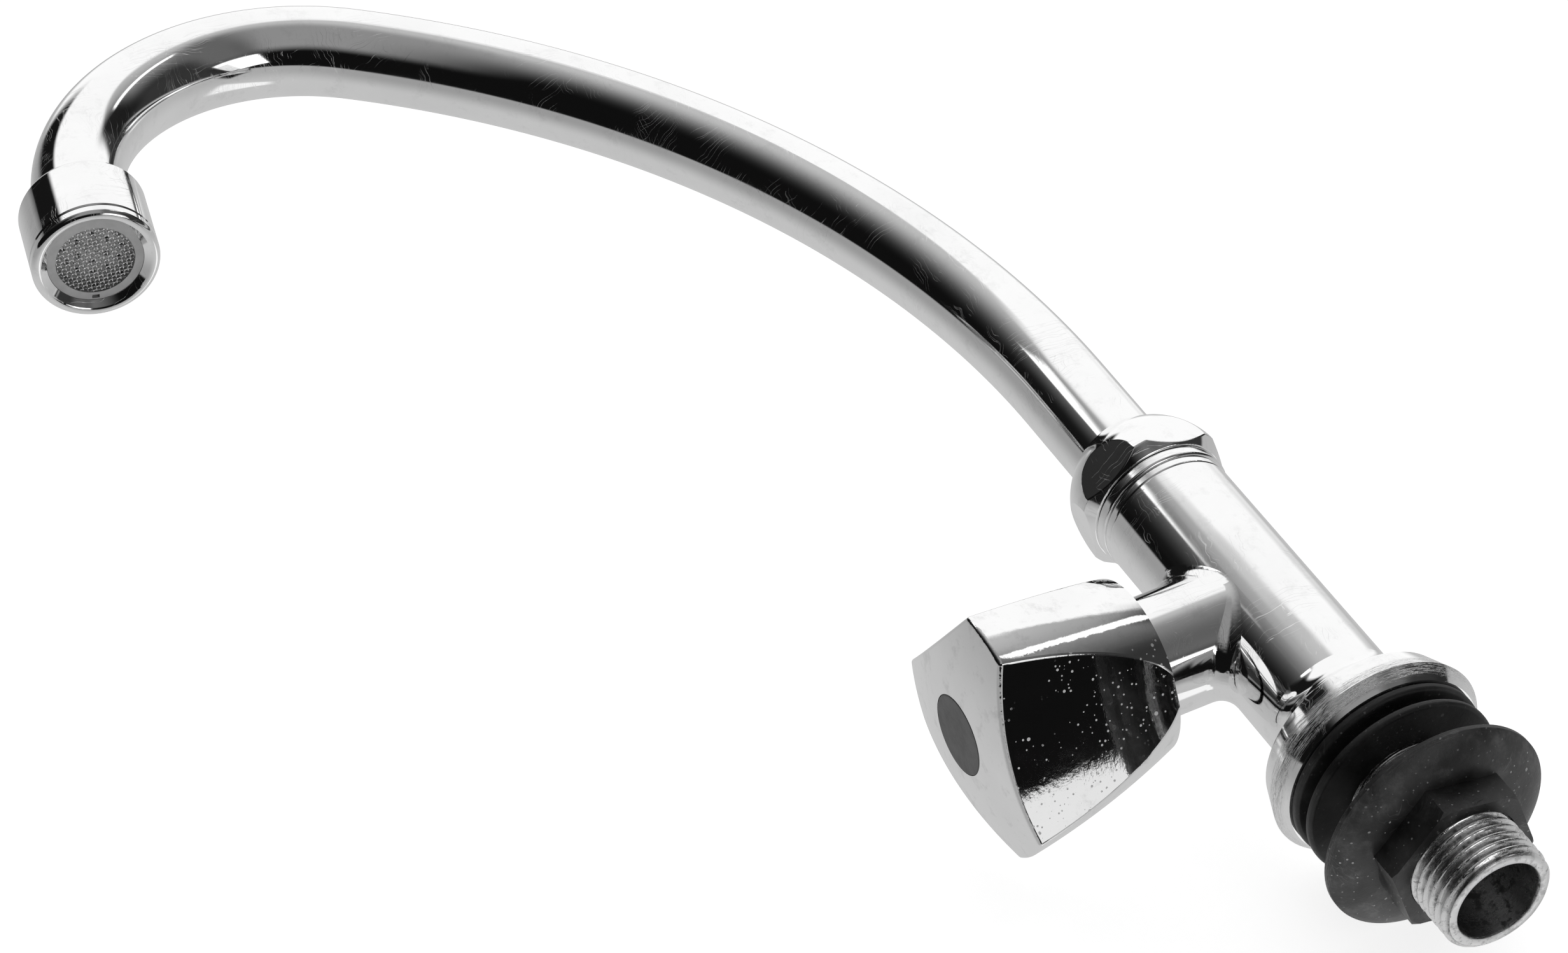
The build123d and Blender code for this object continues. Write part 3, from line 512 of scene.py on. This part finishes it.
# ---- inlet shank with a real helical thread ---------------------------------------------------
def threaded_shank():
    """The shank as one closed skin: the thread outside, then the shoulder, spigot and bore."""
    columns = 144
    rows_per_turn = 12
    thread_top = -0.4 * MM
    run_out = 2.5 * MM
    chamfer_r = 9.62 * MM
    shoulder_r = 10.45 * MM
    shoulder_top = 1.9 * MM
    bore_step = -13.0 * MM
    crest_flat = 0.12
    rounding = 0.4
    rows = int((thread_top - SHANK_END) / THREAD_PITCH * rows_per_turn)
    points = []

    def ring_of(radius_at, z):
        for column in range(columns):
            angle = 2 * math.pi * column / columns
            radius = radius_at(angle)
            points.append((radius * math.cos(angle), radius * math.sin(angle), z))

    for row in range(rows + 1):
        z = SHANK_END + (thread_top - SHANK_END) * row / rows
        limit = chamfer_r + (z - SHANK_END)
        fade = min(1.0, max(0.0, (thread_top - z) / run_out))

        def thread_radius(angle):
            phase = (z / THREAD_PITCH - angle / (2 * math.pi)) % 1.0
            slope = abs(phase - 0.5) * 2.0
            groove = min(1.0, max(0.0, (slope - crest_flat) / (1.0 - 2 * crest_flat)))
            rounded = groove * groove * (3 - 2 * groove)
            groove = groove + (rounded - groove) * rounding
            return min(THREAD_R - THREAD_DEPTH * groove * fade, limit)

        ring_of(thread_radius, z)
    for radius, z in (
        (shoulder_r, 0.0),
        (shoulder_r, shoulder_top),
        (SPIGOT_R, shoulder_top),
        (SPIGOT_R, SPIGOT_TOP),
        (SHANK_INNER_R, SPIGOT_TOP),
        (SHANK_INNER_R, bore_step),
        (SHANK_BORE_R, bore_step - 1.0 * MM),
        (SHANK_BORE_R, SHANK_END + 0.5 * MM),
        (MOUTH_R + 0.05 * MM, SHANK_END + 0.12 * MM),
        (MOUTH_R + 0.3 * MM, SHANK_END),
    ):
        ring_of(lambda angle: radius, z)
    faces = ring_faces(len(points) // columns, columns)
    return piece(
        "inlet_shank_threaded",
        points,
        faces,
        THREAD,
        "tap_body",
        ["inlet_shank"],
        crease=50.0,
    )


threaded_shank()


# ---- spout tube, smooth along its bends ---------------------------------------------------------
def spout_stations():
    """Centre points and directions along the spout, as reach and height."""
    riser_steps = 6
    neck_steps = 90
    crook_steps = 72
    end_steps = 3
    stations = []
    for step in range(riser_steps + 1):
        stations.append((0.0, TUBE_START + (RISER_TOP - TUBE_START) * step / riser_steps, 0.0))
    for step in range(1, neck_steps + 1):
        lean = NECK_BEND * step / neck_steps
        x = NECK_BEND_R * (1 - math.cos(lean))
        stations.append((x, RISER_TOP + NECK_BEND_R * math.sin(lean), lean))
    reach, height, _ = stations[-1]
    for step in range(1, crook_steps + 1):
        lean = NECK_BEND + CROOK * step / crook_steps
        x = reach + CROOK_R * (math.cos(NECK_BEND) - math.cos(lean))
        z = height + CROOK_R * (math.sin(lean) - math.sin(NECK_BEND))
        stations.append((x, z, lean))
    reach, height, lean = stations[-1]
    for step in range(1, end_steps + 1):
        run = (OUTLET_RUN - TUBE_END_SHORT) * step / end_steps
        stations.append((reach + run * math.sin(lean), height + run * math.cos(lean), lean))
    return stations


STATIONS = spout_stations()
END_REACH, END_HEIGHT, END_LEAN = STATIONS[-1]
FLOW = REACH * math.sin(END_LEAN) + UP * math.cos(END_LEAN)
TIP = REACH * END_REACH + UP * END_HEIGHT + FLOW * TUBE_END_SHORT


def smooth_tube():
    """The spout's wall, out along its stations and back inside."""
    columns = 96
    points = []

    def ring(station, radius):
        reach, height, lean = station
        centre = REACH * reach + UP * height
        outward = REACH * math.cos(lean) - UP * math.sin(lean)
        for column in range(columns):
            angle = 2 * math.pi * column / columns
            points.append(centre + (outward * math.cos(angle) + SIDE * math.sin(angle)) * radius)

    for station in STATIONS:
        ring(station, TUBE_R)
    for station in reversed(STATIONS):
        ring(station, TUBE_INNER_R)
    faces = ring_faces(len(points) // columns, columns)
    return piece("spout_tube_bent", points, faces, CHROME, "spout", ["spout_tube"])


smooth_tube()


# ---- woven outlet mesh --------------------------------------------------------------------------
def woven_mesh():
    """Two crossing sets of round wires that pass over and under each other."""
    pitch = 0.8 * MM
    wire_r = 0.13 * MM
    weave_height = 0.11 * MM
    reach_r = 7.45 * MM
    inset = 1.8 * MM
    wires_each_side = 9
    steps_per_pitch = 6
    sides = 8
    centre = TIP - FLOW * inset
    along = FLOW.cross(SIDE).normalized()
    weave_turn = math.radians(8.0)
    first = SIDE * math.cos(weave_turn) + along * math.sin(weave_turn)
    second = along * math.cos(weave_turn) - SIDE * math.sin(weave_turn)
    points = []
    faces = []
    for direction, other, lift in ((first, second, 1.0), (second, first, -1.0)):
        for index in range(-wires_each_side, wires_each_side + 1):
            offset = index * pitch
            half = math.sqrt(reach_r**2 - offset**2)
            steps = max(4, int(half * 2 / (pitch / steps_per_pitch)))
            start = len(points)
            for step in range(steps + 1):
                run = -half + 2 * half * step / steps
                wave = math.cos(math.pi * run / pitch) * (-1) ** index * lift * weave_height
                middle = centre + direction * run + other * offset + FLOW * wave
                for side in range(sides):
                    angle = 2 * math.pi * side / sides
                    points.append(middle + (other * math.cos(angle) + FLOW * math.sin(angle)) * wire_r)
            faces += ring_faces(steps + 1, sides, start, closed=False)
            faces.append(tuple(start + s for s in reversed(range(sides))))
            faces.append(tuple(start + steps * sides + s for s in range(sides)))
    return piece("aerator_mesh_woven", points, faces, STEEL, "aerator_insert", ["aerator_mesh"])


woven_mesh()


# ---- studio -------------------------------------------------------------------------------------
# The room is painted by bearing and rise, in degrees, about the camera's resting axes.
SCREEN_GAMMA = 2.2

world = bpy.data.worlds.new("studio")
bpy.context.scene.world = world
world.use_nodes = True
sky = Graph(world.node_tree)
direction = sky.node("ShaderNodeTexCoord").outputs["Generated"]
side_part = sky.vector_math("DOT_PRODUCT", direction, tuple(VIEW_RIGHT))
up_part = sky.vector_math("DOT_PRODUCT", direction, tuple(VIEW_UP))
back_part = sky.vector_math("DOT_PRODUCT", direction, tuple(VIEW_BACK))
bearing = sky.math("DEGREES", sky.math("ARCTAN2", side_part, back_part))
rise = sky.math("DEGREES", sky.math("ARCSINE", up_part))
above_table = sky.node("ShaderNodeSeparateXYZ", {0: direction}).outputs[0]


def shade(brightness):
    """The light that looks this bright on the screen, where 1 is white."""
    return brightness**SCREEN_GAMMA


def patch(light, brightness, sides, heights, soft, tilt=0.0):
    """Paints a soft-edged patch between two bearings and two rises, the rises falling by the tilt."""
    level = sky.math("ADD", rise, sky.math("MULTIPLY", bearing, tilt))
    edges = (
        (bearing, sides[0], soft[0], 0.0, 1.0),
        (bearing, sides[1], soft[0], 1.0, 0.0),
        (level, heights[0], soft[1], 0.0, 1.0),
        (level, heights[1], soft[1], 1.0, 0.0),
    )
    mask = 1.0
    for value, edge, softness, before, after in edges:
        inside = sky.ramp(value, edge - softness, edge + softness, before, after)
        mask = sky.math("MULTIPLY", mask, inside)
    return sky.mix(mask, light, shade(brightness))


# brightness on the screen, bearings, rises, softness and tilt of what stands in the room
ROOM = (
    (0.11, (-147.0, -88.0), (16.0, 48.0), (5.0, 3.0)),         # dark doorway on the left
    (0.56, (-17.0, 32.0), (5.0, 66.0), (9.0, 10.0)),           # grey screen above the camera
    (0.40, (32.0, 60.0), (0.0, 66.0), (9.0, 10.0)),            # darker screen to its right
    (0.22, (58.0, 150.0), (-30.0, 32.0), (9.0, 9.0)),          # dim room on the right
    (0.14, (96.0, 128.0), (22.0, 56.0), (9.0, 6.0)),           # its darkest corner
    (1.30, (31.0, 56.0), (-26.0, -1.0), (1.5, 1.5)),           # soft edge of the bright card
    (1.25, (60.0, 105.0), (65.0, 69.0), (2.0, 0.8), 0.13),     # long lamp overhead
    (1.20, (-86.0, -76.0), (44.0, 58.0), (1.5, 1.5)),          # narrow window on the left
)
# the same for what stands on the table
TABLE_TOP = (
    (0.09, (50.0, 69.0), (-38.0, -21.0), (3.0, 2.0)),          # dark gap beside the cards
    (0.92, (47.0, 56.1), (-24.7, -6.0), (0.3, 0.3)),           # pale card
    (1.30, (31.0, 49.0), (-25.5, -3.0), (0.8, 0.8)),           # bright card
    (1.00, (84.0, 112.0), (-72.0, -42.0), (4.0, 4.0)),         # white sheet, low on the right
)
BACKDROP = 0.97    # what the camera itself sees behind the tap

# the room's wall is dark low down and lightens towards the ceiling, with white to either side
wall = sky.math("POWER", sky.ramp(rise, 12.0, 80.0, 0.09, 0.76), SCREEN_GAMMA)
ceiling = sky.ramp(sky.math("ADD", rise, sky.math("MULTIPLY", bearing, 0.1)), 80.0, 87.0)
wall = sky.mix(ceiling, wall, shade(1.0))
leaning = sky.math("SUBTRACT", bearing, sky.math("MULTIPLY", sky.ramp(rise, 40.0, 72.0), 40.0))
far_side = sky.ramp(sky.math("ADD", bearing, rise), 170.0, 180.0, 1.0, 0.0)
behind_wall = sky.math("MULTIPLY", sky.ramp(leaning, -116.0, -104.0), far_side)
light = sky.mix(behind_wall, shade(1.02), wall)
for panel in ROOM:
    light = patch(light, *panel)

# the table fills what is below the tap, brighter straight down
table = sky.ramp(bearing, -90.0, 140.0, shade(0.61), shade(0.72))
table = sky.mix(sky.ramp(above_table, -0.75, -0.15), shade(0.78), table)
over = sky.math("MAXIMUM", sky.ramp(above_table, -0.03, 0.03), sky.ramp(rise, 16.0, 28.0))
light = sky.mix(over, table, light)
for panel in TABLE_TOP:
    light = patch(light, *panel)

seen = sky.node("ShaderNodeLightPath").outputs["Is Camera Ray"]
light = sky.mix(seen, light, BACKDROP)
background = sky.node("ShaderNodeBackground", {0: sky.tint(0.5, light, light), 1: 1.0})
sky.tree.links.new(background.outputs[0], sky.node("ShaderNodeOutputWorld").inputs[0])


def pale_floor_look():
    """Matt white that glows a little, and clear from below."""
    look = bpy.data.materials.new("pale_floor")
    look.use_nodes = True
    g = Graph(look.node_tree)
    matt = g.node("ShaderNodeBsdfDiffuse", {"Color": grey(0.93)})
    glow = g.node("ShaderNodeEmission", {"Color": grey(1.0), "Strength": 0.80})
    both = g.node("ShaderNodeAddShader", {0: matt.outputs[0], 1: glow.outputs[0]})
    clear = g.node("ShaderNodeBsdfTransparent")
    behind = g.node("ShaderNodeNewGeometry").outputs["Backfacing"]
    shown = g.node("ShaderNodeMixShader", {0: behind, 1: both.outputs[0], 2: clear.outputs[0]})
    g.tree.links.new(shown.outputs[0], g.node("ShaderNodeOutputMaterial").inputs[0])
    return look


def lay_floor():
    """The plain floor that the tap lies on, across the X axis."""
    floor_x = -21.8 * MM
    half_width = 4.0
    corners = ((-1, -1), (1, -1), (1, 1), (-1, 1))
    mesh = bpy.data.meshes.new("floor")
    points = [(floor_x, half_width * y, half_width * z) for y, z in corners]
    mesh.from_pydata(points, [], [(0, 1, 2, 3)])
    mesh.materials.append(pale_floor_look())
    floor = bpy.data.objects.new("floor", mesh)
    bpy.context.scene.collection.objects.link(floor)
    floor.visible_glossy = False
    floor.visible_shadow = False


lay_floor()
